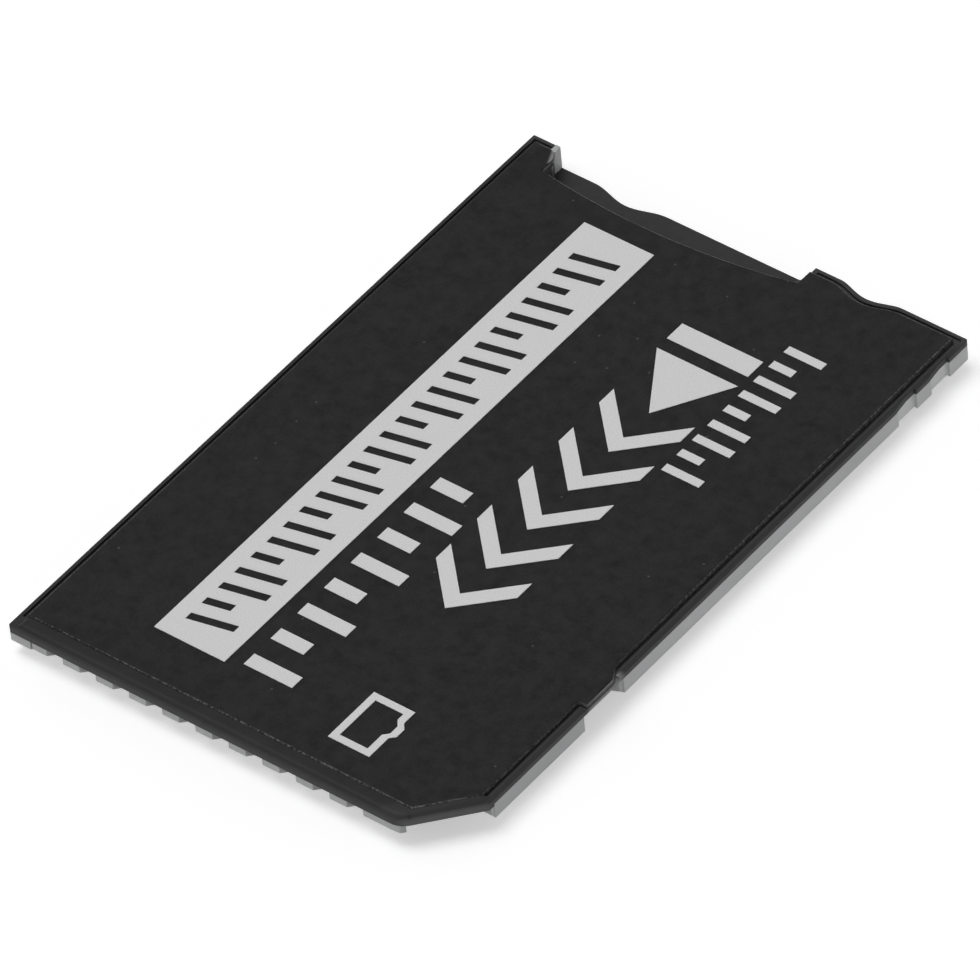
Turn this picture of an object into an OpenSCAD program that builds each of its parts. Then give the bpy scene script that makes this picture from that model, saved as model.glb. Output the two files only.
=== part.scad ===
// Card adapter: a thin carrier card of the 20 x 31 x 1.6 mm format that takes a
// smaller 11 x 15 mm card in a slot at its rear edge.
// All sizes are in mm. Plan places run from the front left corner: x to the right,
// y from the contact edge to the slot edge, and z up from the underside.
// seated() then puts the origin at the middle of the underside.

/* [Card format] */
// Width over the side rails
card_w = 20; // [19.6:0.05:20.8]
// Length from the contact edge to the slot edge
card_l = 31; // [30.6:0.05:32]
// Thickness from the underside to the top of the print
card_t = 1.6; // [1.56:0.01:1.8]
// Width and length of the cut corner at the front right
corner_cut_x = 2.15; // [1.8:0.01:2.4]
corner_cut_y = 2.47; // [2.1:0.01:2.6]
// Radius where the cut corner meets the contact edge
cut_round = 0.9; // [0.5:0.05:1.2]
// Radius of the card's other upright corners
corner_round = 0.14; // [0.08:0.01:0.2]

/* [Moulded frame] */
// Width of each side rail, where the underside is stepped up
rail_w = 1.0; // [0.9:0.05:1.2]
// Height of the rails' underside over the underside of the keel
keel_h = 0.47; // [0.4:0.01:0.6]
// Thickness of the lower frame's outer wall
frame_wall = 0.55; // [0.4:0.01:0.65]
// Thickness of the wall across the rear, beside the card slot
rear_wall = 0.45; // [0.4:0.01:0.55]
// Width of the post at the left end of the slot's mouth, where the wall rises to the rim
post_w = 0.22; // [0.15:0.01:0.3]
// Thickness of the bar across the nose
nose_bar = 0.95; // [0.9:0.01:1.2]
// Length of the comb of ribs under the circuit board
comb_l = 4.2; // [4.1:0.05:5]
// Height of the underside of the nose's front face
nose_face_z = 0.77; // [0.65:0.01:0.85]
// Height of the underside of the front face on the left rail
rail_face_z = 0.69; // [0.6:0.01:0.75]
// Length of the bevel under the nose
nose_bevel_l = 1.1; // [0.8:0.05:1.4]
// Width and length of the open pocket under the cut corner
undercut_w = 2.8; // [2.6:0.05:2.9]
undercut_l = 2.75; // [2.5:0.05:3.1]
// Height of the bevel under the pocket's rear wall
undercut_bevel = 0.28; // [0.2:0.01:0.35]
// Width and length of the nose's end that juts into the pocket
nose_end_w = 0.62; // [0.4:0.01:0.7]
nose_end_l = 0.42; // [0.3:0.01:0.6]
// Thickness of the walls round that pocket
undercut_wall = 0.45; // [0.35:0.01:0.55]
// Width and depth of the scored line on the nose where the rail meets the keel
score_w = 0.08; // [0.05:0.01:0.12]
score_d = 0.12; // [0.08:0.01:0.16]
// Clearance between pieces that nest in each other
fit = 0.02; // [0.01:0.005:0.03]

/* [Upper frame] */
// Drop from the top of the print to the rim
rim_drop = 0.18; // [0.15:0.01:0.22]
// Drop from the top of the print to the raised crest in front of the cover
crest_drop = 0.05; // [0.04:0.01:0.08]
// Distance from the left side to the crest and length of the slope at each of its ends
crest_x = 0.35; // [0.3:0.01:0.5]
crest_slope_l = 0.25; // [0.15:0.01:0.3]
// Height of the dark band on the sides, from the rim to the seam
band_h = 0.24; // [0.18:0.01:0.27]
// Height of the dark band on the nose, from the rim to the seam
nose_band_h = 0.34; // [0.28:0.01:0.38]
// Height of the skirt inside the lower frame's wall
lap_h = 0.3; // [0.2:0.01:0.4]
// Length of the bar behind the nose
front_bar = 1.6; // [1.3:0.05:2]
// Width of the ledge under the cover across the rear, right of the card slot
rear_ledge = 1.0; // [0.8:0.05:1.4]
// Width of the rim round the cover
rim_w = 0.18; // [0.12:0.01:0.22]
// Length of the wall that closes the groove round the cover at the slot's mouth
groove_end = 0.2; // [0.15:0.01:0.3]
// Radius along the top edge of the nose and the cut corner
nose_round = 0.3; // [0.2:0.01:0.34]
// Radius along the rim's other top edges
rim_round = 0.07; // [0.04:0.01:0.1]

/* [Cover] */
// Thickness of the cover sheet
cover_t = 0.27; // [0.24:0.01:0.3]
// Distance from the card's sides and rear to the cover
cover_inset = 0.4; // [0.36:0.01:0.46]
// Distance from the contact edge to the cover
cover_front = 0.66; // [0.5:0.01:0.85]
// Distance from the cut corner to the cover
cover_cut = 0.36; // [0.34:0.01:0.42]
// Radius of the arc that clears the small card's grip
arc_r = 31; // [28:1:36]
// Distance from the slot edge to the deepest point of that arc
arc_depth = 1.88; // [1.6:0.01:2.1]
// Place of the arc's deepest point across the card
arc_x = 6.42; // [6:0.01:6.8]
// Radius of the cover's corner beside the slot
cover_corner_r = 0.55; // [0.3:0.05:0.6]
// Thickness of the print
print_t = 0.02; // [0.01:0.005:0.03]

/* [Card slot] */
// Width of the small card
small_card_w = 11; // [10.8:0.05:11.2]
// Length of the small card
small_card_l = 15; // [14.9:0.05:15.4]
// Clearance on each side of the small card
card_clear = 0.1; // [0.05:0.01:0.15]
// Clearance past the end of the small card
stop_clear = 0.15; // [0.05:0.01:0.3]
// Place of the slot's centre line across the card
slot_x = 7.17; // [7.05:0.01:7.3]
// Thickness of the slot floor
floor_t = 0.36; // [0.33:0.01:0.4]
// Widening of the slot's mouth on each side
mouth_flare = 0.32; // [0.2:0.01:0.4]
// Length of the slanted ends of the guide walls
flare_l = 0.5; // [0.3:0.05:0.8]
// Thickness of the guide wall between the slot and the board's tail
guide_w = 0.53; // [0.45:0.01:0.7]
// Thickness of the upstands along the base plate's sides
upstand_w = 0.5; // [0.3:0.01:0.55]
// Width, depth and place of the thumb hollow in the slot floor
floor_dip_w = 3.4; // [2.6:0.05:4]
floor_dip_d = 0.35; // [0.2:0.01:0.45]
floor_dip_x = 4.45; // [4:0.05:5.5]
// Width, depth and place of the fingernail hollow in the rear edge
edge_dip_w = 3.2; // [2.6:0.05:3.8]
edge_dip_d = 0.35; // [0.2:0.01:0.4]
edge_dip_x = 15.62; // [15.3:0.01:16.2]

/* [Side features] */
// Place of the lock notch's front end
notch_y = 7.97; // [7.5:0.01:8.5]
// Length of the lock notch
notch_l = 2.31; // [2.1:0.01:2.6]
// Depth of the lock notch
notch_d = 0.72; // [0.6:0.01:0.8]
// How far the notch's rear end slants forward
notch_slant = 0.3; // [0.2:0.01:0.4]
// Distance from the notch's front end to the cover's tab
tab_offset = 0.24; // [0.15:0.01:0.3]
// Length of the tab's outer edge
tab_l = 1.56; // [1.3:0.01:1.7]
// Length of the tab's slanted rear end
tab_slant_l = 0.6; // [0.3:0.01:0.7]
// Distance from the card's side to the tab's outer edge
tab_inset = 0.05; // [0.02:0.01:0.1]
// Place of the step of the rearmost grip
grip_y = 29.8; // [29.4:0.01:29.9]
// Distance from one grip to the next
grip_pitch = 2.0; // [1.7:0.01:2.3]
// Number of grips
grip_count = 2; // [1:1:4]
// Length and depth of each grip in the lower frame, and length of its slanted front end
grip_l = 1.13; // [0.9:0.01:1.4]
grip_d = 0.15; // [0.1:0.01:0.2]
grip_end_l = 0.2; // [0.1:0.01:0.4]
// The same for the shallower grip in the rim above it
rim_grip_l = 1.28; // [1:0.01:1.5]
rim_grip_d = 0.1; // [0.06:0.01:0.13]
rim_grip_end_l = 0.8; // [0.4:0.01:0.9]

/* [Contacts underneath] */
// Number of contact slots
contact_count = 10; // [8:1:10]
// Distance from one contact slot to the next
contact_pitch = 1.524; // [1.4:0.002:1.54]
// Place of the middle of the contact row across the card
contact_x = 8.98; // [8.9:0.01:9.1]
// Width of each contact slot
contact_slot_w = 0.73; // [0.65:0.01:0.8]
// Length of each contact slot
contact_slot_l = 3.9; // [3.7:0.05:4]
// Length of the flat mouth in front of each slot's ramp
slot_lip_l = 0.12; // [0.08:0.01:0.2]
// Width, length and thickness of each contact pad
pad_w = 0.6; // [0.5:0.01:0.64]
pad_l = 2.5; // [2:0.05:2.6]
pad_t = 0.03; // [0.02:0.01:0.05]
// Distance from the nose bar to the pads
pad_setback = 0.1; // [0.05:0.01:0.15]

/* [Circuit board] */
// Thickness of the board
board_t = 0.3; // [0.25:0.01:0.34]
// Distance from the spring holder to the board's edge
board_gap = 0.05; // [0.02:0.01:0.1]
// Distance from the rear wall to the end of the board's tail
tail_gap = 0.6; // [0.2:0.05:1.5]
// Side, thickness and place across the card of the controller chip
chip_w = 5; // [4:0.1:5.4]
chip_t = 0.5; // [0.4:0.01:0.55]
chip_x = 11.6; // [11:0.1:12.4]
// Distance from the spring tails to the chip
chip_gap = 2.55; // [2:0.05:3]
// Length, width and height of the capacitors
capacitor_l = 1.0; // [0.8:0.05:1.2]
capacitor_w = 0.5; // [0.4:0.05:0.6]
capacitor_h = 0.5; // [0.4:0.01:0.55]
// Distance from the chip to the two capacitors beside it, and from one to the other
capacitor_gap = 0.85; // [0.5:0.05:1.2]
capacitor_space = 1.6; // [1:0.05:2]
// Distance from the card stop and from the tail's side to the middle of the third capacitor
tail_part_y = 3.2; // [2.5:0.05:4]
tail_part_x = 1.6; // [1:0.05:2.4]
// Length, width and height of the resistors
resistor_l = 1.0; // [0.8:0.05:1.2]
resistor_w = 0.5; // [0.4:0.05:0.6]
resistor_h = 0.3; // [0.25:0.01:0.4]
// Distance from the chip to the first resistor, and from one to the other
resistor_gap = 2.25; // [1.5:0.05:2.5]
resistor_space = 1.0; // [0.6:0.05:1.2]
// Length of a soldered end on each of them
cap_end_l = 0.2; // [0.15:0.01:0.25]
// How far a soldered end stands proud of the body
cap_end_proud = 0.02; // [0.01:0.005:0.03]

/* [Spring contacts] */
// Number of spring contacts
spring_count = 8; // [6:1:8]
// Distance from one spring contact to the next
spring_pitch = 1.1; // [1.05:0.01:1.15]
// Width of each spring strip
spring_w = 0.45; // [0.35:0.01:0.5]
// Thickness of each spring strip
spring_t = 0.08; // [0.06:0.005:0.1]
// Length of the tail soldered to the board
spring_tail_l = 1.1; // [0.8:0.05:1.3]
// Length of the arm behind the card stop
spring_arm_l = 3.8; // [3.4:0.05:4.2]
// Height of the arm's flat part over the bottom of its groove
spring_lift = 0.03; // [0.01:0.005:0.04]
// Height of the hump that touches the small card, over the arm's flat part
spring_hump_h = 0.32; // [0.28:0.01:0.4]
// Length of the hump
spring_hump_l = 3.0; // [2.6:0.05:3.2]
// Thickness of the spring holder along the card
holder_l = 1.1; // [0.9:0.05:1.4]
// Clearance on each side of a strip in its groove
groove_clear = 0.07; // [0.04:0.01:0.1]
// Length of the groove past the tip of the arm
groove_spare = 0.3; // [0.2:0.05:0.5]
// Thickness of the floor left under the grooves
groove_floor = 0.12; // [0.1:0.01:0.15]

/* [Print] */
// Place across the card and width of the pale panel
panel_x = 4.61; // [4.5:0.01:4.8]
panel_w = 3.22; // [3:0.01:3.4]
// Distance from the contact edge to the panel
panel_front = 2.72; // [2.5:0.01:3]
// Distance from the slot edge to the panel
panel_rear = 2.91; // [2.6:0.01:3.2]
// Number and height of the dark strokes left open in the panel
stroke_count = 25; // [18:1:28]
stroke_h = 1.9; // [1.5:0.05:2.1]
// Share of that height that every third stroke has
stroke_short = 0.6; // [0.4:0.05:0.9]
// Share of each stroke's space that the stroke fills
stroke_fill = 0.38; // [0.3:0.01:0.45]
// Slant of the strokes along the card
stroke_slant = 0.7; // [0:0.05:0.8]
// Distance from the panel's ends to the strokes
stroke_margin = 0.95; // [0.7:0.05:1.2]
// Width of the lines of the printed marks
mark_line = 0.62; // [0.5:0.01:0.75]
// Distance from the panel to the row of bars, and from the panel's front end
bars_gap = 0.65; // [0.4:0.01:0.8]
bars_front = 0.3; // [0:0.01:0.6]
// Height, number and spacing of the bars, and the share of that height that every second one has
bars_h = 2.2; // [1.8:0.05:2.3]
bars_count = 8; // [6:1:8]
bars_pitch = 1.55; // [1.4:0.01:1.6]
bars_short = 0.68; // [0.5:0.01:0.9]
// Distance from the row of bars to the row of arrowheads, and from the panel's front end
heads_gap = 0.22; // [0.1:0.01:0.3]
heads_front = 6.54; // [6:0.01:7]
// Height and number of the arrowheads
heads_h = 3.7; // [3.2:0.05:3.8]
heads_count = 5; // [4:1:5]
// Length of the solid arrow behind them and its distance from the panel's rear end
arrow_l = 2.9; // [2.4:0.05:3]
arrow_rear = 3.86; // [3.6:0.01:4.2]
// Distance from the solid arrow to the bar behind it, and the line width of that bar
arrow_gap = 0.6; // [0.4:0.01:0.8]
arrow_line = 0.93; // [0.7:0.01:1.1]
// Distance from the arrowheads to the row of dashes, and from the panel's rear end
dashes_gap = 0.3; // [0.1:0.01:0.5]
dashes_rear = 1.5; // [1:0.01:2]
// Height, line width, number and spacing of the dashes
dashes_h = 1.7; // [1.4:0.05:1.9]
dashes_line = 0.37; // [0.3:0.01:0.45]
dashes_count = 9; // [6:1:10]
dashes_pitch = 0.92; // [0.8:0.01:1]
// Share of that height that every third dash has
dashes_short = 0.6; // [0.4:0.05:0.9]
// Place, width and length of the printed card outline
icon_x = 13.26; // [13:0.01:13.6]
icon_y = 1.82; // [1.6:0.01:2.1]
icon_w = 2.07; // [1.8:0.01:2.3]
icon_l = 2.67; // [2.4:0.01:2.9]
// Line width of the printed card outline
icon_line = 0.3; // [0.2:0.01:0.35]

/* [Hidden] */
// Heights that follow from the sizes above
rim_z = card_t - rim_drop;
crest_z = card_t - crest_drop;
cover_z = card_t - print_t - cover_t;
seam_z = rim_z - band_h;
nose_seam_z = rim_z - nose_band_h;
lap_z = seam_z - lap_h;
board_z = floor_t + board_t;

// Plan places that follow from the sizes above
slot_w = small_card_w + 2*card_clear;
slot_left = slot_x - slot_w/2;
slot_right = slot_x + slot_w/2;
mouth_left = slot_left - mouth_flare;
mouth_right = slot_right + mouth_flare;
rear_y = card_l - rear_wall;
ledge_y = card_l - rear_ledge;
stop_y = card_l - small_card_l - stop_clear;
holder_y = stop_y - holder_l;
board_l = holder_y - board_gap;
bay_side = rail_w + upstand_w;
undercut_x = card_w - undercut_w;
undercut_wall_x = undercut_x - undercut_wall;
undercut_wall_y = undercut_l + undercut_wall;
groove_w = spring_w + 2*groove_clear;
groove_l = spring_arm_l + groove_spare;
chip_y = holder_y - spring_tail_l - chip_gap - chip_w/2;
spring_z = groove_floor + spring_lift;
cut_angle = atan2(corner_cut_y, corner_cut_x);
cut_l = norm([corner_cut_x, corner_cut_y]);
tip_x = card_w - corner_cut_x - cut_round*tan(cut_angle/2);
pocket_gap = cover_inset - rim_w;
panel_end = card_l - panel_rear;
bars_x = panel_x + panel_w + bars_gap;
heads_x = bars_x + bars_h + heads_gap;

// Small overlap used where a cut runs past a face
eps = 0.05;
// Segments of each raised-cosine hollow and spring hump
wave_n = 18;

frame_grey = [0.56, 0.57, 0.58];
shell_black = [0.16, 0.16, 0.17];
cover_black = [0.19, 0.19, 0.2];
print_white = [0.82, 0.82, 0.81];
board_green = [0.07, 0.28, 0.16];
gold = [0.83, 0.66, 0.3];
chip_black = [0.1, 0.1, 0.11];
holder_cream = [0.85, 0.8, 0.68];
ceramic_tan = [0.66, 0.52, 0.38];

// Places a piece drawn from the front left corner in the part's own frame
module seated() { translate([-card_w/2, -card_l/2, 0]) children(); }

// A flat layer from height z0 to height z1
module layer(z0, z1) { translate([0, 0, z0]) linear_extrude(z1 - z0) children(); }

// A rectangle in plan from one corner to the other
module area(x0, y0, x1, y1) { translate([x0, y0]) square([x1 - x0, y1 - y0]); }

// A profile drawn in y and z, extruded across the card from x0 to x1
module across(x0, x1) { translate([x0, 0, 0]) rotate([90, 0, 90]) linear_extrude(x1 - x0) children(); }

// Points of a smooth hollow of width w and depth d, centred on x0
function wave(x0, w, d) =
    [for (i = [0:wave_n]) [x0 + w*(i/wave_n - 0.5), d*(0.5 - 0.5*cos(360*i/wave_n))]];

// Plan region that such a hollow takes out of a rear edge at y
module rear_hollow(x0, w, d, y) {
    polygon(concat([for (p = wave(x0, w, d)) [p.x, y - p.y]], [[x0 + w/2, y + 1], [x0 - w/2, y + 1]]));
}

// Outline of the card, set in from its sides, front, rear and cut corner
module card_outline(side, front, rear, cut) {
    front_x = card_w - corner_cut_x + (front*corner_cut_x - cut*cut_l)/corner_cut_y;
    side_y = corner_cut_y + (cut*cut_l - side*corner_cut_y)/corner_cut_x;
    difference() {
        polygon([[side, front], [front_x, front], [card_w - side, side_y],
                 [card_w - side, card_l - rear], [side, card_l - rear]]);
        rear_hollow(edge_dip_x, edge_dip_w, edge_dip_d, card_l - rear);
    }
}

// Plan region beyond a corner at the origin that is rounded with radius r
module beyond_corner(r) {
    difference() {
        translate([-eps, -eps]) square(r + eps);
        translate([r, r]) circle(r, $fn = 48);
    }
}

// Plan region beyond the rounding where the cut corner meets the contact edge
module beyond_tip() {
    reach = cut_round + eps;
    translate([tip_x, cut_round]) difference() {
        polygon([[0, 0], [0, -reach], [reach*tan(cut_angle/2), -reach],
                 [reach*sin(cut_angle), -reach*cos(cut_angle)]]);
        circle(cut_round, $fn = 96);
    }
}

// Full outline of both moulded frames
module frame_outline() {
    difference() {
        card_outline(0, 0, 0, 0);
        beyond_corner(corner_round);
        translate([card_w, card_l]) rotate(180) beyond_corner(corner_round);
        translate([0, card_l]) rotate(-90) beyond_corner(corner_round);
        beyond_tip();
    }
}

// Hollows for a finger on the right side, each with a step at the rear and a slanted front end
module grips(l, d, end_l) {
    for (i = [0:grip_count - 1])
        translate([card_w, grip_y - i*grip_pitch])
            polygon([[-d, 0], [eps, 0], [eps, -l], [0, -l], [-d, end_l - l]]);
}

// Plan region where the dark band is deeper: the nose and round the open pocket
module nose_zone() {
    area(-eps, -eps, card_w + eps, nose_bar);
    difference() {
        area(undercut_wall_x, -eps, card_w + eps, undercut_wall_y);
        area(card_w - frame_wall, undercut_l, card_w + 2*eps, undercut_wall_y + eps);
    }
}

// Plan region of the walls and the pocket at the cut corner, grown by a clearance
module corner_block(gap) { area(undercut_wall_x - gap, -eps, card_w + eps, undercut_wall_y + gap); }

// Plan region of the card slot's mouth
module mouth_area() { area(mouth_left, rear_y - eps, mouth_right, card_l + eps); }

// Plan region of the post at the mouth's left end, grown by a clearance
module post_area(gap) {
    area(mouth_left - post_w - gap, card_l - cover_inset + fit - gap, mouth_left, card_l);
}

// Profile that rounds an edge at x = 0 and height top: the piece lies at positive x
module round_profile(r, top) {
    difference() {
        translate([-1, top - r]) square([r + 1, r + 1]);
        translate([r, top - r]) circle(r, $fn = 48);
    }
}

// Rounds the top edge of a straight side: the edge runs along x at y = 0
module edge_round(length, r, top) { across(0, length) round_profile(r, top); }

// Rounds the top edge along the nose, the tip and the cut corner
module nose_edge_round() {
    translate([-1, 0, 0]) edge_round(tip_x + 1, nose_round, crest_z);
    translate([tip_x, cut_round, 0]) rotate([0, 0, -90]) rotate_extrude(angle = cut_angle, $fn = 96)
        translate([cut_round, 0]) mirror([1, 0]) round_profile(nose_round, crest_z);
    translate([tip_x + cut_round*sin(cut_angle), cut_round*(1 - cos(cut_angle)), 0])
        rotate([0, 0, cut_angle]) edge_round(cut_l + 1, nose_round, crest_z);
}

// Places of the contact slots across the card
function contact_place(i) = contact_x + contact_pitch*(i - (contact_count + 1)/2);

// One contact slot, open at the front and underneath, with a ramp up to the nose
module contact_slot(i) {
    across(contact_place(i) - contact_slot_w/2, contact_place(i) + contact_slot_w/2)
        polygon([[-eps, -eps], [-eps, nose_seam_z + eps], [slot_lip_l, nose_seam_z + eps],
                 [slot_lip_l, nose_seam_z], [nose_bar, floor_t],
                 [contact_slot_l, floor_t], [contact_slot_l, -eps]]);
}

// Bevel under the nose from x0 to x1, behind a front face that ends at height z
module nose_bevel(x0, x1, z) {
    across(x0, x1) polygon([[-eps, -eps], [-eps, z], [0, z], [nose_bevel_l, 0], [nose_bevel_l, -eps]]);
}

// Open pocket under the cut corner, with a bevel under its rear wall
module undercut() {
    layer(-eps, seam_z + eps) {
        area(undercut_x, nose_end_l, card_w + eps, undercut_l);
        area(undercut_x + nose_end_w, -eps, card_w + eps, nose_end_l + eps);
    }
    across(undercut_x, card_w - rail_w)
        polygon([[undercut_l - eps, -eps], [undercut_l - eps, undercut_bevel], [undercut_l, undercut_bevel],
                 [undercut_l + undercut_bevel, 0], [undercut_l + undercut_bevel, -eps]]);
}

// Lock notch in the right side, with a slanted rear end
module lock_notch() {
    layer(-eps, seam_z + eps)
        polygon([[card_w + eps, notch_y], [card_w - notch_d, notch_y],
                 [card_w - notch_d, notch_y + notch_l - notch_slant], [card_w, notch_y + notch_l],
                 [card_w + eps, notch_y + notch_l]]);
}

// Grey moulded frame: rails, nose, comb of ribs, rear wall and the walls of the pocket
module lower_frame() color(frame_grey) seated() {
    layer(seam_z - eps, rim_z) post_area(0);
    difference() {
        layer(0, seam_z) difference() {
            frame_outline();
            grips(grip_l, grip_d, grip_end_l);
        }
        // Bay for the circuit board and the upstands
        layer(floor_t, seam_z + eps) difference() {
            area(bay_side, nose_bar, card_w - bay_side, comb_l);
            corner_block(0);
        }
        layer(floor_t, seam_z + eps) difference() {
            area(rail_w, comb_l, card_w - rail_w, rear_y);
            rear_hollow(edge_dip_x, edge_dip_w, edge_dip_d, rear_y);
        }
        // Room for the base plate
        layer(-eps, floor_t) area(rail_w, comb_l, card_w - rail_w, card_l + eps);
        // Step under each rail
        for (x0 = [-eps, card_w - rail_w])
            layer(-eps, keel_h) area(x0, -eps, x0 + rail_w + eps, card_l + eps);
        // Mouth of the card slot
        layer(floor_t - eps, seam_z + eps) mouth_area();
        // Rebate for the upper frame's skirt
        layer(lap_z, seam_z + eps) difference() {
            area(frame_wall, nose_bar, card_w - frame_wall, rear_y);
            corner_block(0);
            rear_hollow(edge_dip_x, edge_dip_w, edge_dip_d, rear_y);
        }
        // Seat of the upper frame over the nose
        layer(nose_seam_z, seam_z + eps) nose_zone();
        for (i = [1:contact_count]) contact_slot(i);
        nose_bevel(-eps, rail_w, rail_face_z);
        nose_bevel(rail_w, card_w + eps, nose_face_z);
        undercut();
        lock_notch();
        // Scored line on the nose
        layer(-eps, nose_seam_z + eps) area(rail_w, -eps, rail_w + score_w, score_d);
    }
}

// Outline of the cover, with its tab over the lock notch
module cover_outline() {
    tab_y = notch_y + tab_offset;
    difference() {
        union() {
            card_outline(cover_inset, cover_front, cover_inset, cover_cut);
            polygon([[card_w - cover_inset - eps, tab_y], [card_w - tab_inset, tab_y],
                     [card_w - tab_inset, tab_y + tab_l],
                     [card_w - cover_inset, tab_y + tab_l + tab_slant_l],
                     [card_w - cover_inset - eps, tab_y + tab_l + tab_slant_l]]);
        }
        intersection() {
            area(slot_left, stop_y, mouth_right, card_l + eps);
            translate([arc_x, card_l - arc_depth + arc_r]) circle(arc_r, $fn = 180);
        }
        translate([slot_left, card_l - cover_inset]) rotate(180) beyond_corner(cover_corner_r);
    }
}

// Recess in the upper frame that the cover sits in
module cover_recess() {
    tab_y = notch_y + tab_offset;
    difference() {
        card_outline(rim_w, cover_front - fit, rim_w, cover_cut - fit);
        area(mouth_right, card_l - cover_inset + fit, mouth_right + groove_end, card_l);
    }
    area(card_w - cover_inset, tab_y - pocket_gap/2, card_w + eps, tab_y + tab_l + tab_slant_l/2);
    mouth_area();
}

// Crest of the rim in front of the cover and along the cut corner, sloped at both ends
module crest() {
    intersection() {
        layer(rim_z - eps, crest_z) difference() {
            frame_outline();
            card_outline(-1, cover_front, -1, cover_cut);
        }
        translate([0, card_l, 0]) rotate([90, 0, 0]) linear_extrude(card_l + 1)
            polygon([[crest_x, rim_z - eps], [crest_x, rim_z], [crest_x + crest_slope_l, crest_z + eps],
                     [card_w - rim_w - crest_slope_l, crest_z + eps], [card_w - rim_w, rim_z],
                     [card_w - rim_w, rim_z - eps]]);
    }
}

// Black moulded frame: rim with its crest, roof over the nose and the cut corner, and skirt
module upper_frame() color(shell_black) seated() {
    difference() {
        union() {
            layer(seam_z, rim_z) frame_outline();
            crest();
            layer(nose_seam_z, rim_z) intersection() {
                frame_outline();
                nose_zone();
            }
            layer(lap_z + fit, seam_z + eps) difference() {
                area(frame_wall + fit, nose_bar + fit, card_w - frame_wall - fit, rear_y - fit);
                corner_block(fit);
                rear_hollow(edge_dip_x, edge_dip_w, edge_dip_d, rear_y - fit);
            }
        }
        layer(cover_z, crest_z + eps) cover_recess();
        // Opening over the board and the card slot
        layer(-eps, rim_z + eps) difference() {
            union() {
                area(rail_w, front_bar, card_w - rail_w, ledge_y);
                area(rail_w, ledge_y - eps, slot_right + guide_w + fit, rear_y);
            }
            corner_block(0);
        }
        // Room for the board's front edge under the bar
        layer(-eps, seam_z) difference() {
            area(rail_w, nose_bar, card_w - rail_w, front_bar + eps);
            corner_block(0);
        }
        layer(-eps, rim_z + eps) {
            mouth_area();
            area(mouth_left - post_w - fit, rear_y - eps, mouth_left + eps, card_l + eps);
        }
        layer(seam_z - eps, rim_z + eps) grips(rim_grip_l, rim_grip_d, rim_grip_end_l);
        nose_edge_round();
        translate([card_w, -1, 0]) rotate([0, 0, 90]) edge_round(card_l + 2, rim_round, rim_z);
        translate([0, card_l + 1, 0]) rotate([0, 0, -90]) edge_round(card_l + 2, rim_round, rim_z);
        translate([card_w + 1, card_l, 0]) rotate([0, 0, 180]) edge_round(card_w + 2, rim_round, rim_z);
    }
}

// Places of the spring contacts across the card
function spring_place(i) = slot_x + spring_pitch*(i - (spring_count + 1)/2);

// Black moulded plate: slot floor and keel, with upstands and guide walls
module base_plate() color(shell_black) seated() {
    left = rail_w + fit;
    right = card_w - rail_w - fit;
    front = comb_l + fit;
    difference() {
        union() {
            layer(0, floor_t) difference() {
                area(left, front, right, card_l);
                rear_hollow(edge_dip_x, edge_dip_w, edge_dip_d, card_l);
                rear_hollow(floor_dip_x, floor_dip_w, floor_dip_d, card_l);
            }
            layer(0, cover_z) {
                area(left, front, rail_w + upstand_w, stop_y);
                area(card_w - bay_side, front, right, ledge_y - fit);
                // Guide walls with slanted ends
                polygon([[left, holder_y], [slot_left, holder_y], [slot_left, rear_y - fit - flare_l],
                         [mouth_left, rear_y - fit], [left, rear_y - fit]]);
                polygon([[slot_right + guide_w, holder_y], [slot_right, holder_y],
                         [slot_right, rear_y - fit - flare_l], [mouth_right, rear_y - fit],
                         [slot_right + guide_w, rear_y - fit]]);
            }
        }
        // Grooves for the spring arms
        for (i = [1:spring_count])
            layer(groove_floor, floor_t + eps)
                area(spring_place(i) - groove_w/2, holder_y, spring_place(i) + groove_w/2, stop_y + groove_l);
    }
}

// Black sheet over the board and the card slot
module top_cover() color(cover_black) seated() layer(cover_z, cover_z + cover_t) cover_outline();

// A printed layer on the cover
module printed() { seated() layer(card_t - print_t, card_t) children(); }

// Pale panel with a row of slanted strokes left open, every third one shorter
module print_panel() color(print_white) printed() {
    pitch = (panel_end - panel_front - 2*stroke_margin)/stroke_count;
    low = panel_x + (panel_w - stroke_h)/2;
    line = pitch*stroke_fill;
    slope = pitch*(1 - stroke_fill)*stroke_slant/stroke_h;
    difference() {
        area(panel_x, panel_front, panel_x + panel_w, panel_end);
        for (i = [0:stroke_count - 1]) {
            h = i % 3 == 1 ? stroke_short*stroke_h : stroke_h;
            translate([low, panel_front + stroke_margin + i*pitch])
                polygon([[0, 0], [0, line], [h, line + h*slope], [h, h*slope]]);
        }
    }
}

// Arrowhead that points to the contact edge, h across the card and half as long
module arrowhead(h, line) {
    tail = line*sqrt(2);
    polygon([[0, h/2], [h/2, 0], [h, h/2], [h, h/2 + tail], [h/2, tail], [0, h/2 + tail]]);
}

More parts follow.
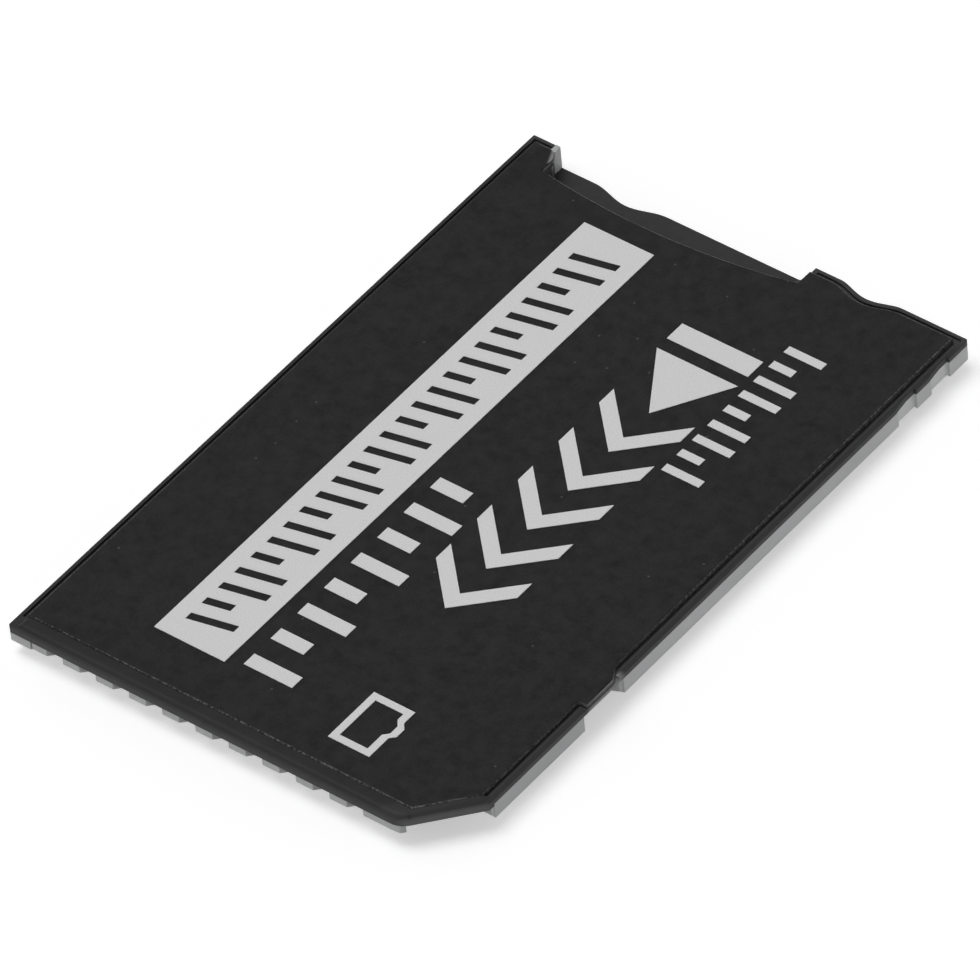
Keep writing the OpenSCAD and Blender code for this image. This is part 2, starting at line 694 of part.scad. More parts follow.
// Plain marks in place of words: bars, arrowheads, an arrow and dashes
module print_marks() color(print_white) printed() {
    arrow_y = panel_end - arrow_rear - arrow_l;
    heads_y = panel_front + heads_front;
    heads_pitch = (arrow_y - heads_y)/heads_count;
    dashes_x = heads_x + heads_h + dashes_gap;
    // Row of bars beside the panel's front half, every second one shorter
    for (i = [0:bars_count - 1])
        translate([bars_x, panel_front + bars_front + i*bars_pitch])
            square([i % 2 == 0 ? bars_h : bars_short*bars_h, mark_line]);
    // Row of arrowheads, with a solid arrow and a bar behind them
    for (i = [0:heads_count - 1])
        translate([heads_x, heads_y + i*heads_pitch]) arrowhead(heads_h, mark_line);
    translate([heads_x, arrow_y]) polygon([[0, arrow_l], [heads_h/2, 0], [heads_h, arrow_l]]);
    translate([heads_x, arrow_y + arrow_l + arrow_gap]) square([heads_h, arrow_line]);
    // Row of dashes by the right side, every third one shorter
    for (i = [0:dashes_count - 1])
        translate([dashes_x, panel_end - dashes_rear - i*dashes_pitch])
            square([i % 3 == 1 ? dashes_short*dashes_h : dashes_h, dashes_line]);
}

// Outline of a small card, with one step in its right side, set in by d
module small_card_shape(d) {
    step = 0.1*icon_w;
    polygon([[d, d], [icon_w - step - d, d], [icon_w - step - d, 0.42*icon_l],
             [icon_w - d, 0.5*icon_l], [icon_w - d, 0.66*icon_l], [icon_w - step - d, 0.76*icon_l],
             [icon_w - step - d, icon_l - d], [d, icon_l - d]]);
}

// Printed outline of the small card
module print_pictogram() color(print_white) printed() translate([icon_x, icon_y]) difference() {
    small_card_shape(0);
    small_card_shape(icon_line);
}

// Circuit board: full width in front, with a tail beside the card slot
module pcb() color(board_green) seated() layer(floor_t, board_z) difference() {
    union() {
        area(bay_side + fit, nose_bar + fit, card_w - bay_side - fit, board_l);
        area(slot_right + guide_w + fit, board_l - eps, card_w - bay_side - fit, rear_y - tail_gap);
    }
    corner_block(fit);
}

// Gold pad on the underside of the board, in contact slot i
module contact_pad(i) {
    x = contact_place(i);
    y = nose_bar + pad_setback;
    color(gold) seated() layer(floor_t - pad_t, floor_t) area(x - pad_w/2, y, x + pad_w/2, y + pad_l);
}

// Centre line of a spring strip in y and z: tail on the board, riser in the holder,
// then the arm along its groove and the hump under the small card
riser_y = holder_y + 0.3;
arm_mid_z = spring_z + spring_t/2;
hump_y = stop_y + spring_arm_l - 0.93*spring_hump_l;
function hump_point(t) =
    [hump_y + t*spring_hump_l, arm_mid_z + spring_hump_h*(0.5 - 0.5*cos(360*t))];
spring_path = concat(
    [[holder_y - spring_tail_l, board_z + spring_t/2], [riser_y, board_z + spring_t/2], [riser_y, arm_mid_z]],
    [for (i = [0:wave_n]) hump_point(0.93*i/wave_n)]);

// Unit direction from point a to point b
function unit(a, b) = (b - a)/norm(b - a);
// Side point of a strip at point i of path p, at distance d to its left
function side_point(p, i, d) =
    let (n = len(p) - 1,
         u = i == 0 ? unit(p[0], p[1]) : unit(p[i - 1], p[i]),
         v = i == n ? unit(p[n - 1], p[n]) : unit(p[i], p[i + 1]),
         m = [-(u + v).y, (u + v).x]/norm(u + v))
    p[i] + m*d/(m*[-u.y, u.x]);
// Outline of a strip of thickness t along path p
function strip(p, t) =
    concat([for (i = [0:len(p) - 1]) side_point(p, i, t/2)],
           [for (i = [len(p) - 1:-1:0]) side_point(p, i, -t/2)]);

// Spring strip i, from its tail on the board to the tip of its arm
module spring_contact(i) {
    x = spring_place(i);
    color(gold) seated() across(x - spring_w/2, x + spring_w/2) polygon(strip(spring_path, spring_t));
}

// Bar that holds the spring strips and stops the small card
module spring_holder() color(holder_cream) seated() difference() {
    across(slot_left + fit, slot_right - fit)
        polygon([[holder_y, floor_t], [stop_y, floor_t], [stop_y, cover_z], [holder_y, cover_z]]);
    // Channels for the tails and risers
    for (i = [1:spring_count])
        layer(floor_t - eps, board_z + spring_t + fit)
            area(spring_place(i) - spring_w/2 - fit, holder_y - eps,
                 spring_place(i) + spring_w/2 + fit, riser_y + spring_t/2);
}

// Controller chip in its moulded package, with a dimple at its first corner
module controller_chip() color(chip_black) seated() difference() {
    layer(board_z, board_z + chip_t) translate([chip_x, chip_y]) square(chip_w, center = true);
    translate([chip_x - 0.4*chip_w, chip_y - 0.4*chip_w, board_z + 0.9*chip_t])
        cylinder(r = 0.06*chip_w, h = chip_t, $fn = 32);
}

// Small two-ended component along the card, with its middle at x, y
module chip_part(x, y, l, w, h) {
    translate([x, y, board_z]) {
        translate([cap_end_proud - w/2, -l/2, 0]) cube([w - 2*cap_end_proud, l, h - cap_end_proud]);
        for (end_y = [-l/2, l/2 - cap_end_l])
            translate([-w/2, end_y, 0]) cube([w, cap_end_l, h]);
    }
}

// Ceramic capacitors: two beside the chip and one on the board's tail
module capacitor(i) {
    beside_x = chip_x + (chip_w + capacitor_w)/2 + capacitor_gap;
    off_y = (capacitor_l + capacitor_space)/2;
    places = [[beside_x, chip_y - off_y], [beside_x, chip_y + off_y],
              [card_w - bay_side - tail_part_x, stop_y + tail_part_y]];
    color(ceramic_tan) seated()
        chip_part(places[i - 1].x, places[i - 1].y, capacitor_l, capacitor_w, capacitor_h);
}

// Resistors on the chip's other side
module resistor(i) {
    x = chip_x - (chip_w + resistor_w)/2 - resistor_gap - (i - 1)*(resistor_w + resistor_space);
    color(chip_black) seated() chip_part(x, chip_y, resistor_l, resistor_w, resistor_h);
}

lower_frame();
upper_frame();
base_plate();
top_cover();
print_panel();
print_marks();
print_pictogram();
pcb();
contact_pad(1);  // contact_pad_1
contact_pad(2);  // contact_pad_2
contact_pad(3);  // contact_pad_3
contact_pad(4);  // contact_pad_4
contact_pad(5);  // contact_pad_5
contact_pad(6);  // contact_pad_6
contact_pad(7);  // contact_pad_7
contact_pad(8);  // contact_pad_8
contact_pad(9);  // contact_pad_9
contact_pad(10);  // contact_pad_10
spring_contact(1);  // spring_contact_1
spring_contact(2);  // spring_contact_2
spring_contact(3);  // spring_contact_3
spring_contact(4);  // spring_contact_4
spring_contact(5);  // spring_contact_5
spring_contact(6);  // spring_contact_6
spring_contact(7);  // spring_contact_7
spring_contact(8);  // spring_contact_8
spring_holder();
controller_chip();
capacitor(1);  // capacitor_1
capacitor(2);  // capacitor_2
capacitor(3);  // capacitor_3
resistor(1);  // resistor_1
resistor(2);  // resistor_2
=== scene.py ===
# Looks of the card adapter: finishes, softened edges, floor, light and camera
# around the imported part. Lengths are in metres, written as millimetres times MM.
import math

import bmesh
import bpy
from mathutils import Matrix, Vector


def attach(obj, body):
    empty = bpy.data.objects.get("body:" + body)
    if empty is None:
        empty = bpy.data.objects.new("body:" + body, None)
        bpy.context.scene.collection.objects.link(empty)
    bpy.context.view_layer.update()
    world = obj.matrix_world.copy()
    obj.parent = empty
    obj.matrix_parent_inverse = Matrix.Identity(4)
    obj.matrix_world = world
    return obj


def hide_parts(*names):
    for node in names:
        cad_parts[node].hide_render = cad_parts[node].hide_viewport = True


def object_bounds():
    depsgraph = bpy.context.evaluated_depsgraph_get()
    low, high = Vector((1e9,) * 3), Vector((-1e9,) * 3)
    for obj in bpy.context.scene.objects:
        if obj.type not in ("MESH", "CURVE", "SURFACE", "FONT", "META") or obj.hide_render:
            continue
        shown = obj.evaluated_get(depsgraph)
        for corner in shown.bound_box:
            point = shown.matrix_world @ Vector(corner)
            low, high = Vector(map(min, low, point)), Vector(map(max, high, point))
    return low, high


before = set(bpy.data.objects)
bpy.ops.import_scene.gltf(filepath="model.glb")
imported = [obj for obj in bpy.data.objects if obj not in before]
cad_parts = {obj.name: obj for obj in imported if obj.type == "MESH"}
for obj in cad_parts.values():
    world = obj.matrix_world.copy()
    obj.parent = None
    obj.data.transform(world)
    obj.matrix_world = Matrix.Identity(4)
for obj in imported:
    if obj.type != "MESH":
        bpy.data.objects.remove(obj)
cad_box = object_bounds()

MM = 0.001

# Camera, fitted to the outline of the card in the photo
AZIMUTH = math.radians(41.7216)
ELEVATION = math.radians(43.8458)
ROLL = math.radians(-5.7049)
DISTANCE = 529.67*MM
TARGET = Vector((0.2568, -0.4023, 1.42))*MM
LENS = 539.15
SENSOR = 36

# Light: a dome that is brighter near the horizon, with a soft lamp overhead
DOME = 0.32
HORIZON = 1.05
HORIZON_SPREAD = (0.55, 0.15)
LAMP = 5.6
LAMP_TOWARDS = Vector((-0.24, -0.14, 0.96))
LAMP_SPREAD = (0.915, 0.99)

# Floor
FLOOR_SIZE = 3.0
FLOOR_DROP = 0.004*MM
FLOOR_COLOUR = (0.8, 0.8, 0.8)
FLOOR_GLOW = 0.44

# Radius of the softened edges of each piece, and the height from which the cover has them
COVER_EDGE = 0.08*MM
COVER_LOWEST = 1.5*MM
SHELL_EDGE = 0.03*MM
FRAME_EDGE = 0.035*MM
EDGE_ANGLE = math.radians(30)
EDGE_SEGMENTS = 3
# Millimetres up to which vertices are joined, and angle up to which faces are
WELD = 1e-4
FLAT_ANGLE = math.radians(0.4)

# Heights where a film of dust, which also paints light into the shaded groove, starts and where it is
# full: the rim, the groove and the slot
DUST_AND_LIGHT_Z = (1.47*MM, 1.39*MM)
# Heights between the floor of the slot and that of the groove round the cover, and above that
GROOVE_Z = (1.1*MM, 1.25*MM)
GROOVE_TOP = (1.38*MM, 1.34*MM)
# Where the painted highlight on the rear rim starts along the card, and its top in height
REAR_RIM = (14.7*MM, 15.1*MM)
RIM_Z = (1.38*MM, 1.41*MM)
# Way the cut corner's side faces, which gets a painted reflection, and where its rim, with a painted
# highlight, starts that way
CUT_SIDE = Vector((0.754, -0.657, 0))
CUT_RIM = (15.25*MM, 15.4*MM)
# Where the painted light over the lock notch starts and is full: from the front, the rear and the middle
NOTCH_FRONT = (-7.35*MM, -7.15*MM)
NOTCH_REAR = (-5.1*MM, -5.4*MM)
NOTCH_SIDE = (9.55*MM, 9.75*MM)
# Where the grey frame turns from its darker shade, at the nose, to its paler one towards the rear:
# painted light
GREY_LIGHT_FADE = (-9*MM, -3*MM)
# Where the side walls of the grips lie across the card, from outside and from inside
GRIP_WALL = (9.95*MM, 9.8*MM)
# Middle of the cover's rounded corner by the slot, which way its crescent of painted highlight lies, how
# far out the crescent starts, and where it ends
CORNER = Vector((-8.98, 14.55, 1.58))*MM
CORNER_TOWARDS = Vector((0.917, 0.4, 0))
CORNER_SHINE = (0.34*MM, 0.44*MM)
CORNER_RIM = (0.54*MM, 0.5*MM)

# Colours of the finishes: pairs are the darker and the paler end of a mottle
GREY_SHADES = ((0.395, 0.4, 0.405), (0.515, 0.52, 0.525))
GRIP_PAINTED_LIGHT_GREY = (0.62, 0.625, 0.63)
BLACK_SHADES = ((0.0115, 0.0115, 0.012), (0.0165, 0.0165, 0.017))
DUST_AND_LIGHT_BLACK = (0.034, 0.034, 0.035)
GROOVE_LIGHT_BLACK = (0.058, 0.058, 0.059)
REAR_HIGHLIGHT_BLACK = (0.042, 0.042, 0.0425)
CUT_HIGHLIGHT_BLACK = (0.027, 0.027, 0.0275)
CUT_FACE_REFLECTION_BLACK = (0.085, 0.085, 0.086)
NOTCH_LIGHT_BLACK = (0.2, 0.2, 0.2)
PAINT_SHADES = ((0.0045, 0.0045, 0.005), (0.0165, 0.0165, 0.017))
THIN_AND_LIT_PAINT = (0.04, 0.04, 0.041)
NOTCH_REFLECTION_PAINT = (0.15, 0.15, 0.15)
WORN_AND_HIGHLIT_PAINT = (0.11, 0.11, 0.112)
CORNER_HIGHLIGHT = (0.24, 0.24, 0.245)
SPECK = (0.062, 0.062, 0.063)
INK_SHADES = ((0.67, 0.67, 0.675), (0.87, 0.87, 0.865))
GREEN_SHADES = ((0.008, 0.05, 0.024), (0.014, 0.08, 0.04))
GOLD_SHADES = ((0.78, 0.54, 0.22), (0.88, 0.66, 0.31))
CREAM_SHADES = ((0.62, 0.54, 0.385), (0.7, 0.62, 0.46))
CHIP_SHADES = ((0.016, 0.016, 0.017), (0.024, 0.024, 0.025))
CERAMIC_SHADES = ((0.4, 0.27, 0.16), (0.47, 0.33, 0.21))
TIN = (0.7, 0.69, 0.66)

# Size of the finest grain in ink, plastic and paint, and how far out along a component its ends start
GRAIN = 0.05*MM
TIN_START = 0.3


def nodes_with(prefix):
    """Names of the frame's nodes that begin so."""
    return sorted(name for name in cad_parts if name.startswith(prefix))


# Shader helpers

RANGE_SOCKETS = ("From Min", "From Max", "To Min", "To Max")
# Range that noise mostly keeps to
NOISE_RANGE = (0.3, 0.7)


class Finish:
    """One material: a Principled shader, with what varies over the surface wired to it."""

    def __init__(self, name, colour, roughness, **sockets):
        self.material = bpy.data.materials.new(name)
        self.material.use_nodes = True
        self.tree = self.material.node_tree
        self.shader = self.tree.nodes["Principled BSDF"]
        self.set("Base Color", (*colour, 1))
        self.set("Roughness", roughness)
        for socket, value in sockets.items():
            self.set(socket.replace("_", " "), value)
        coordinates = self.tree.nodes.new("ShaderNodeTexCoord")
        self.place = coordinates.outputs["Object"]
        self.normal = coordinates.outputs["Normal"]

    def set(self, socket, value):
        self.shader.inputs[socket].default_value = value

    def node(self, kind, **settings):
        node = self.tree.nodes.new(kind)
        for name, value in settings.items():
            setattr(node, name, value)
        return node

    def noise(self, size, detail=2.0, roughness=0.5, stretch=(1, 1, 1)):
        """Noise with features of about that size, stretched along an axis where its factor is below 1."""
        mapping = self.node("ShaderNodeMapping")
        mapping.inputs["Scale"].default_value = stretch
        self.tree.links.new(self.place, mapping.inputs["Vector"])
        noise = self.node("ShaderNodeTexNoise")
        noise.inputs["Scale"].default_value = 1/size
        noise.inputs["Detail"].default_value = detail
        noise.inputs["Roughness"].default_value = roughness
        self.tree.links.new(mapping.outputs["Vector"], noise.inputs["Vector"])
        return noise.outputs["Fac"]

    def spread(self, value, low, high, to_low=0.0, to_high=1.0):
        """Stretches a value from low..high to to_low..to_high."""
        ranged = self.node("ShaderNodeMapRange")
        for socket, number in zip(RANGE_SOCKETS, (low, high, to_low, to_high)):
            ranged.inputs[socket].default_value = number
        self.tree.links.new(value, ranged.inputs["Value"])
        return ranged.outputs["Result"]

    def vary_colour(self, value, low, high):
        """Base colour from low to high with a value from 0 to 1."""
        mix = self.node("ShaderNodeMix", data_type="RGBA")
        mix.inputs["A"].default_value = (*low, 1)
        mix.inputs["B"].default_value = (*high, 1)
        self.tree.links.new(value, mix.inputs["Factor"])
        self.tree.links.new(mix.outputs["Result"], self.shader.inputs["Base Color"])

    def part(self, vector, axis):
        """One component of the surface's place or of its normal."""
        split = self.node("ShaderNodeSeparateXYZ")
        self.tree.links.new(vector, split.inputs["Vector"])
        return split.outputs[axis]

    def along(self, vector, direction):
        """How far a place, or a normal, reaches in a direction."""
        product = self.node("ShaderNodeVectorMath", operation="DOT_PRODUCT")
        product.inputs[1].default_value = direction
        self.tree.links.new(vector, product.inputs[0])
        return product.outputs["Value"]

    def math(self, operation, first, second=None):
        node = self.node("ShaderNodeMath", operation=operation)
        self.tree.links.new(first, node.inputs[0])
        if second is not None:
            self.tree.links.new(second, node.inputs[1])
        return node.outputs["Value"]

    def where_all(self, *masks):
        """Mask of where all the given masks are 1."""
        joined = masks[0]
        for mask in masks[1:]:
            joined = self.math("MULTIPLY", joined, mask)
        return joined

    def blend(self, first, second, share):
        """Mean of two values, the second one weighted with that share."""
        mix = self.node("ShaderNodeMix", data_type="FLOAT")
        mix.inputs["Factor"].default_value = share
        self.tree.links.new(first, mix.inputs["A"])
        self.tree.links.new(second, mix.inputs["B"])
        return mix.outputs["Result"]

    def lay_over(self, mask, colour):
        """Lays a colour over the present one where the mask is 1."""
        mix = self.node("ShaderNodeMix", data_type="RGBA")
        base = self.shader.inputs["Base Color"]
        self.tree.links.new(base.links[0].from_socket, mix.inputs["A"])
        mix.inputs["B"].default_value = (*colour, 1)
        self.tree.links.new(mask, mix.inputs["Factor"])
        self.tree.links.new(mix.outputs["Result"], base)

    def specks(self, spacing, radius, share):
        """Mask of small round specks in plan, in that share of cells of that size."""
        cells = self.node("ShaderNodeTexVoronoi", voronoi_dimensions="2D")
        cells.inputs["Scale"].default_value = 1/spacing
        self.tree.links.new(self.place, cells.inputs["Vector"])
        dot = self.spread(cells.outputs["Distance"], radius/spacing, 0.5*radius/spacing)
        chosen = self.spread(self.part(cells.outputs["Color"], "X"), share + 0.01, share)
        return self.where_all(dot, chosen)

    def vary_roughness(self, value, low, high):
        self.tree.links.new(self.spread(value, *NOISE_RANGE, low, high), self.shader.inputs["Roughness"])

    def relief(self, height, depth, strength=1.0):
        """Bumps of that depth from a value from 0 to 1."""
        bump = self.node("ShaderNodeBump")
        bump.inputs["Distance"].default_value = depth
        bump.inputs["Strength"].default_value = strength
        self.tree.links.new(height, bump.inputs["Height"])
        if self.shader.inputs["Normal"].links:
            self.tree.links.new(self.shader.inputs["Normal"].links[0].from_socket, bump.inputs["Normal"])
        self.tree.links.new(bump.outputs["Normal"], self.shader.inputs["Normal"])


# Finishes, one for each material slot of the record

def grey_plastic():
    finish = Finish("grey_plastic", GREY_SHADES[0], 0.45, Specular_IOR_Level=0.4)
    mottle = finish.spread(finish.noise(1.2*MM, 4, stretch=(1, 0.4, 1)), *NOISE_RANGE)
    # Painted light: the frame's colour is paler towards the rear
    along = finish.spread(finish.part(finish.place, "Y"), *GREY_LIGHT_FADE)
    finish.vary_colour(finish.blend(mottle, along, 0.6), *GREY_SHADES)
    # Painted light: paler in the grips, whose walls lie a little inside the card's side
    across = finish.part(finish.place, "X")
    outer, inner = GRIP_WALL
    grip_light = finish.where_all(finish.spread(across, outer, outer - 0.02*MM),
                               finish.spread(across, inner, inner + 0.02*MM))
    finish.lay_over(grip_light, GRIP_PAINTED_LIGHT_GREY)
    grain = finish.noise(GRAIN, 3)
    finish.vary_roughness(grain, 0.38, 0.52)
    finish.relief(grain, 0.0012*MM)
    return finish.material


def black_plastic():
    finish = Finish("black_plastic", BLACK_SHADES[0], 0.6, Specular_IOR_Level=0.35)
    mottle = finish.spread(finish.noise(0.9*MM, 4), *NOISE_RANGE)
    finish.vary_colour(mottle, *BLACK_SHADES)
    height = finish.part(finish.place, "Z")
    # Dust at the rim and in the groove, which also stands for painted light lifting the groove's shade
    patchy = finish.spread(finish.noise(0.35*MM, 4, 0.6), 0.35, 0.65, 0.7, 1.0)
    finish.lay_over(finish.where_all(finish.spread(height, *DUST_AND_LIGHT_Z), patchy), DUST_AND_LIGHT_BLACK)
    # Painted light: the floor of the groove round the cover is paler, lifting its shade
    in_groove = finish.where_all(finish.spread(height, *GROOVE_TOP),
                                 finish.spread(height, *GROOVE_Z),
                                 finish.spread(finish.part(finish.normal, "Z"), 0.5, 0.9))
    finish.lay_over(in_groove, GROOVE_LIGHT_BLACK)
    # Painted highlights on the rim at the rear and along the cut corner, a painted reflection on the cut
    # corner's sides, and painted light in the lock notch
    along = finish.part(finish.place, "Y")
    rear_highlight = finish.where_all(finish.spread(along, *REAR_RIM), finish.spread(height, *RIM_Z))
    finish.lay_over(rear_highlight, REAR_HIGHLIGHT_BLACK)
    cut_highlight = finish.spread(finish.along(finish.place, CUT_SIDE), *CUT_RIM)
    finish.lay_over(finish.where_all(cut_highlight, finish.spread(height, *RIM_Z)), CUT_HIGHLIGHT_BLACK)
    # Painted reflection on the side faces of the cut corner
    finish.lay_over(finish.spread(finish.along(finish.normal, CUT_SIDE), 0.8, 1.0), CUT_FACE_REFLECTION_BLACK)
    finish.lay_over(in_notch(finish), NOTCH_LIGHT_BLACK)
    grain = finish.noise(0.045*MM, 3)
    finish.vary_roughness(grain, 0.54, 0.68)
    finish.relief(grain, 0.001*MM)
    return finish.material


def in_notch(finish):
    """Mask of the card's side over the lock notch, where light is painted in."""
    along = finish.part(finish.place, "Y")
    return finish.where_all(finish.spread(along, *NOTCH_FRONT),
                            finish.spread(along, *NOTCH_REAR),
                            finish.spread(finish.part(finish.place, "X"), *NOTCH_SIDE))


def cover_paint():
    finish = Finish("cover_paint", PAINT_SHADES[0], 0.5, Specular_IOR_Level=0.3)
    grain = finish.noise(0.06*MM, 4, 0.65)
    cloud = finish.noise(0.45*MM, 4, 0.6)
    mottle = finish.spread(finish.blend(grain, cloud, 0.5), 0.38, 0.62)
    finish.vary_colour(mottle, *PAINT_SHADES)
    # Thin paint, with painted light, on the steep edges; a painted reflection on those over the lock
    # notch; and paint rubbed through in dots, which also stand for painted highlights, on those towards
    # the front and the rear
    steep = finish.spread(finish.part(finish.normal, "Z"), 0.5, 0.1)
    finish.lay_over(steep, THIN_AND_LIT_PAINT)
    finish.lay_over(finish.where_all(steep, in_notch(finish)), NOTCH_REFLECTION_PAINT)
    endwise = finish.spread(finish.math("ABSOLUTE", finish.part(finish.normal, "Y")), 0.1, 0.4)
    dots = finish.spread(finish.noise(0.11*MM, 3), 0.42, 0.62)
    finish.lay_over(finish.where_all(endwise, dots), WORN_AND_HIGHLIT_PAINT)
    finish.lay_over(corner_highlight_mask(finish), CORNER_HIGHLIGHT)
    finish.lay_over(finish.specks(1.3*MM, 0.055*MM, 0.12), SPECK)
    finish.vary_roughness(cloud, 0.42, 0.58)
    finish.relief(finish.noise(0.16*MM, 2), 0.003*MM)
    finish.relief(grain, 0.0014*MM)
    return finish.material


def corner_highlight_mask(finish):
    """Mask of the painted highlight, a pale crescent, on the cover's rounded corner by the slot."""
    away = finish.node("ShaderNodeVectorMath", operation="SUBTRACT")
    away.inputs[1].default_value = CORNER
    finish.tree.links.new(finish.place, away.inputs[0])
    length = finish.node("ShaderNodeVectorMath", operation="LENGTH")
    finish.tree.links.new(away.outputs["Vector"], length.inputs[0])
    out = finish.along(away.outputs["Vector"], CORNER_TOWARDS)
    return finish.where_all(finish.spread(length.outputs["Value"], *CORNER_RIM),
                            finish.spread(out, *CORNER_SHINE),
                            finish.spread(finish.part(finish.normal, "Z"), 0.6, 0.8))


def print_ink():
    finish = Finish("print_ink", INK_SHADES[0], 0.6, Specular_IOR_Level=0.25)
    grain = finish.noise(GRAIN, 4, 0.7)
    finish.vary_colour(finish.spread(grain, *NOISE_RANGE), *INK_SHADES)
    finish.relief(grain, 0.004*MM)
    return finish.material


def solder_mask():
    finish = Finish("solder_mask", GREEN_SHADES[0], 0.35, Specular_IOR_Level=0.5)
    cloud = finish.spread(finish.noise(0.6*MM, 4), *NOISE_RANGE)
    finish.vary_colour(cloud, *GREEN_SHADES)
    finish.relief(finish.noise(0.08*MM, 2), 0.002*MM)
    return finish.material


def gold(name, roughness):
    finish = Finish(name, GOLD_SHADES[0], roughness, Metallic=1.0)
    tint = finish.spread(finish.noise(0.5*MM, 4), *NOISE_RANGE)
    finish.vary_colour(tint, *GOLD_SHADES)
    brushed = finish.noise(0.03*MM, 3, stretch=(1, 0.08, 1))
    finish.vary_roughness(brushed, roughness - 0.08, roughness + 0.1)
    finish.relief(brushed, 0.0008*MM)
    return finish.material


def holder_plastic():
    finish = Finish("holder_plastic", CREAM_SHADES[0], 0.5, Specular_IOR_Level=0.4)
    cloud = finish.spread(finish.noise(0.5*MM, 4), *NOISE_RANGE)
    finish.vary_colour(cloud, *CREAM_SHADES)
    finish.relief(finish.noise(GRAIN, 3), 0.0012*MM)
    return finish.material


def two_ended(name, low, high):
    """Body of a small component, with tinned ends: the outer fifths along its length."""
    finish = Finish(name, low, 0.45, Specular_IOR_Level=0.4)
    box = finish.node("ShaderNodeTexCoord").outputs["Generated"]
    away = finish.node("ShaderNodeMath", operation="SUBTRACT")
    away.inputs[1].default_value = 0.5
    finish.tree.links.new(finish.part(box, "Y"), away.inputs[0])
    is_end = finish.node("ShaderNodeMath", operation="GREATER_THAN")
    is_end.inputs[1].default_value = TIN_START
    finish.tree.links.new(finish.math("ABSOLUTE", away.outputs["Value"]), is_end.inputs[0])
    body = finish.node("ShaderNodeMix", data_type="RGBA")
    body.inputs["A"].default_value = (*low, 1)
    body.inputs["B"].default_value = (*high, 1)
    finish.tree.links.new(finish.noise(0.2*MM, 4), body.inputs["Factor"])
    ends = finish.node("ShaderNodeMix", data_type="RGBA")
    ends.inputs["B"].default_value = (*TIN, 1)
    finish.tree.links.new(body.outputs["Result"], ends.inputs["A"])
    finish.tree.links.new(is_end.outputs["Value"], ends.inputs["Factor"])
    finish.tree.links.new(ends.outputs["Result"], finish.shader.inputs["Base Color"])
    finish.tree.links.new(is_end.outputs["Value"], finish.shader.inputs["Metallic"])
    finish.relief(finish.noise(0.04*MM, 3), 0.001*MM)
    return finish.material


FINISHES = {
    "frame": grey_plastic(),
    "shell": black_plastic(),
    "cover": cover_paint(),
    "print": print_ink(),
    "board": solder_mask(),
    "contact_gold": gold("contact_gold", 0.22),
    "spring_gold": gold("spring_gold", 0.3),
    "holder": holder_plastic(),
    "chip": two_ended("chip_black", *CHIP_SHADES),
    "ceramic": two_ended("ceramic", *CERAMIC_SHADES),
}


def paint(piece, slot):
    piece.data.materials.clear()
    piece.data.materials.append(FINISHES[slot])


# Pieces

def softened(node, slot, radius, lowest=0.0):
    """Stands for a CAD node: a copy with its sharp edges rounded from a height upwards."""
    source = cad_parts[node].data
    mesh = bpy.data.meshes.new(node + "_soft")
    mesh.from_pydata([v.co/MM for v in source.vertices], [], [p.vertices[:] for p in source.polygons])
    shape = bmesh.new()
    shape.from_mesh(mesh)
    bmesh.ops.remove_doubles(shape, verts=shape.verts, dist=WELD)
    bmesh.ops.dissolve_limit(shape, angle_limit=FLAT_ANGLE, verts=shape.verts, edges=shape.edges)
    for face in shape.faces:
        face.smooth = True
    weight = shape.edges.layers.float.new("bevel_weight_edge")
    for edge in shape.edges:
        is_sharp = edge.is_manifold and edge.calc_face_angle() > EDGE_ANGLE
        is_high = min(v.co.z for v in edge.verts) >= lowest/MM
        edge[weight] = float(is_sharp and is_high)
    shape.to_mesh(mesh)
    shape.free()
    piece = bpy.data.objects.new(node + "_soft", mesh)
    bpy.context.scene.collection.objects.link(piece)
    bevel = piece.modifiers.new("edge", "BEVEL")
    bevel.limit_method = "WEIGHT"
    bevel.width = radius/MM
    bevel.segments = EDGE_SEGMENTS
    bevel.harden_normals = True
    depsgraph = bpy.context.evaluated_depsgraph_get()
    piece_mesh = bpy.data.meshes.new_from_object(piece.evaluated_get(depsgraph), depsgraph=depsgraph)
    piece.modifiers.clear()
    piece.data = piece_mesh
    piece_mesh.transform(Matrix.Scale(MM, 4))
    paint(piece, slot)
    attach(piece, "root")
    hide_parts(node)


softened("top_cover", "cover", COVER_EDGE, COVER_LOWEST)
softened("upper_frame", "shell", SHELL_EDGE)
softened("base_plate", "shell", SHELL_EDGE)
softened("lower_frame", "frame", FRAME_EDGE)

NODE_SLOTS = {
    "print_": "print",
    "pcb": "board",
    "contact_pad_": "contact_gold",
    "spring_contact_": "spring_gold",
    "spring_holder": "holder",
    "controller_chip": "chip",
    "resistor_": "chip",
    "capacitor_": "ceramic",
}
for prefix, slot in NODE_SLOTS.items():
    for name in nodes_with(prefix):
        paint(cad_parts[name], slot)


# Floor, light and camera

def see_through_rays(tree):
    """A value of 1 for camera, glossy and transmission rays, which all see the white background."""
    rays = tree.nodes.new("ShaderNodeLightPath")
    first = tree.nodes.new("ShaderNodeMath")
    first.operation = "MAXIMUM"
    second = tree.nodes.new("ShaderNodeMath")
    second.operation = "MAXIMUM"
    tree.links.new(rays.outputs["Is Camera Ray"], first.inputs[0])
    tree.links.new(rays.outputs["Is Glossy Ray"], first.inputs[1])
    tree.links.new(first.outputs["Value"], second.inputs[0])
    tree.links.new(rays.outputs["Is Transmission Ray"], second.inputs[1])
    return second.outputs["Value"]


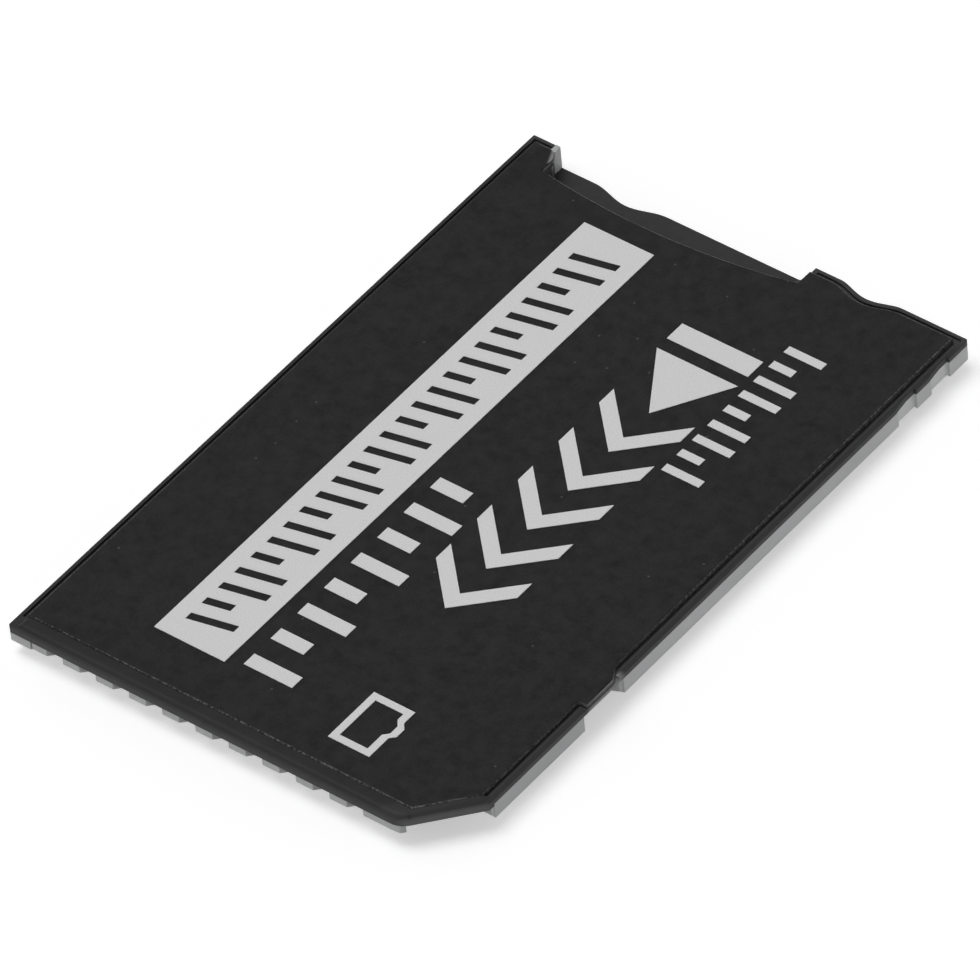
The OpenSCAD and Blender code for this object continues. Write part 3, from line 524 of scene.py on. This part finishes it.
def make_floor():
    bpy.ops.mesh.primitive_plane_add(size=FLOOR_SIZE, location=(0, 0, cad_box[0][2] - FLOOR_DROP))
    floor = bpy.context.object
    floor.name = "floor"
    material = bpy.data.materials.new("floor_white")
    material.use_nodes = True
    tree = material.node_tree
    tree.nodes.clear()
    output = tree.nodes.new("ShaderNodeOutputMaterial")
    diffuse = tree.nodes.new("ShaderNodeBsdfDiffuse")
    diffuse.inputs["Color"].default_value = (*FLOOR_COLOUR, 1)
    glow = tree.nodes.new("ShaderNodeEmission")
    strength = tree.nodes.new("ShaderNodeMath")
    strength.operation = "MULTIPLY"
    strength.inputs[1].default_value = FLOOR_GLOW
    tree.links.new(see_through_rays(tree), strength.inputs[0])
    tree.links.new(strength.outputs["Value"], glow.inputs["Strength"])
    both = tree.nodes.new("ShaderNodeAddShader")
    tree.links.new(diffuse.outputs["BSDF"], both.inputs[0])
    tree.links.new(glow.outputs["Emission"], both.inputs[1])
    tree.links.new(both.outputs["Shader"], output.inputs["Surface"])
    floor.data.materials.append(material)


def towards(tree, direction, aim, spread, low, high):
    """A value that goes from low to high as a direction turns towards the aim."""
    along = tree.nodes.new("ShaderNodeVectorMath")
    along.operation = "DOT_PRODUCT"
    along.inputs[1].default_value = aim.normalized()
    tree.links.new(direction, along.inputs[0])
    turn = tree.nodes.new("ShaderNodeMapRange")
    turn.interpolation_type = "SMOOTHSTEP"
    for socket, number in zip(RANGE_SOCKETS, (*spread, low, high)):
        turn.inputs[socket].default_value = number
    tree.links.new(along.outputs["Value"], turn.inputs["Value"])
    return turn.outputs["Result"]


def make_dome():
    """World light: a dome with a brighter horizon and a soft lamp."""
    world = bpy.data.worlds.new("dome")
    bpy.context.scene.world = world
    world.use_nodes = True
    tree = world.node_tree
    tree.nodes.clear()
    output = tree.nodes.new("ShaderNodeOutputWorld")
    background = tree.nodes.new("ShaderNodeBackground")
    direction = tree.nodes.new("ShaderNodeTexCoord").outputs["Generated"]
    both = tree.nodes.new("ShaderNodeMath")
    both.operation = "ADD"
    dome = towards(tree, direction, Vector((0, 0, 1)), HORIZON_SPREAD, DOME, HORIZON)
    lamp = towards(tree, direction, LAMP_TOWARDS, LAMP_SPREAD, 0.0, LAMP)
    tree.links.new(dome, both.inputs[0])
    tree.links.new(lamp, both.inputs[1])
    tree.links.new(both.outputs["Value"], background.inputs["Strength"])
    tree.links.new(background.outputs["Background"], output.inputs["Surface"])


def make_camera():
    back = Vector((math.sin(AZIMUTH)*math.cos(ELEVATION), -math.cos(AZIMUTH)*math.cos(ELEVATION),
                   math.sin(ELEVATION)))
    right = (-back).cross(Vector((0, 0, 1))).normalized()
    up = right.cross(-back)
    side = math.cos(ROLL)*right + math.sin(ROLL)*up
    top = math.cos(ROLL)*up - math.sin(ROLL)*right
    data = bpy.data.cameras.new("camera")
    data.sensor_width = SENSOR
    data.lens = LENS
    camera = bpy.data.objects.new("camera", data)
    place = Matrix((side, top, back)).transposed().to_4x4()
    place.translation = TARGET + DISTANCE*back
    camera.matrix_world = place
    bpy.context.scene.collection.objects.link(camera)
    bpy.context.scene.camera = camera


make_floor()
make_dome()
make_camera()
bpy.context.scene.view_settings.view_transform = "Standard"
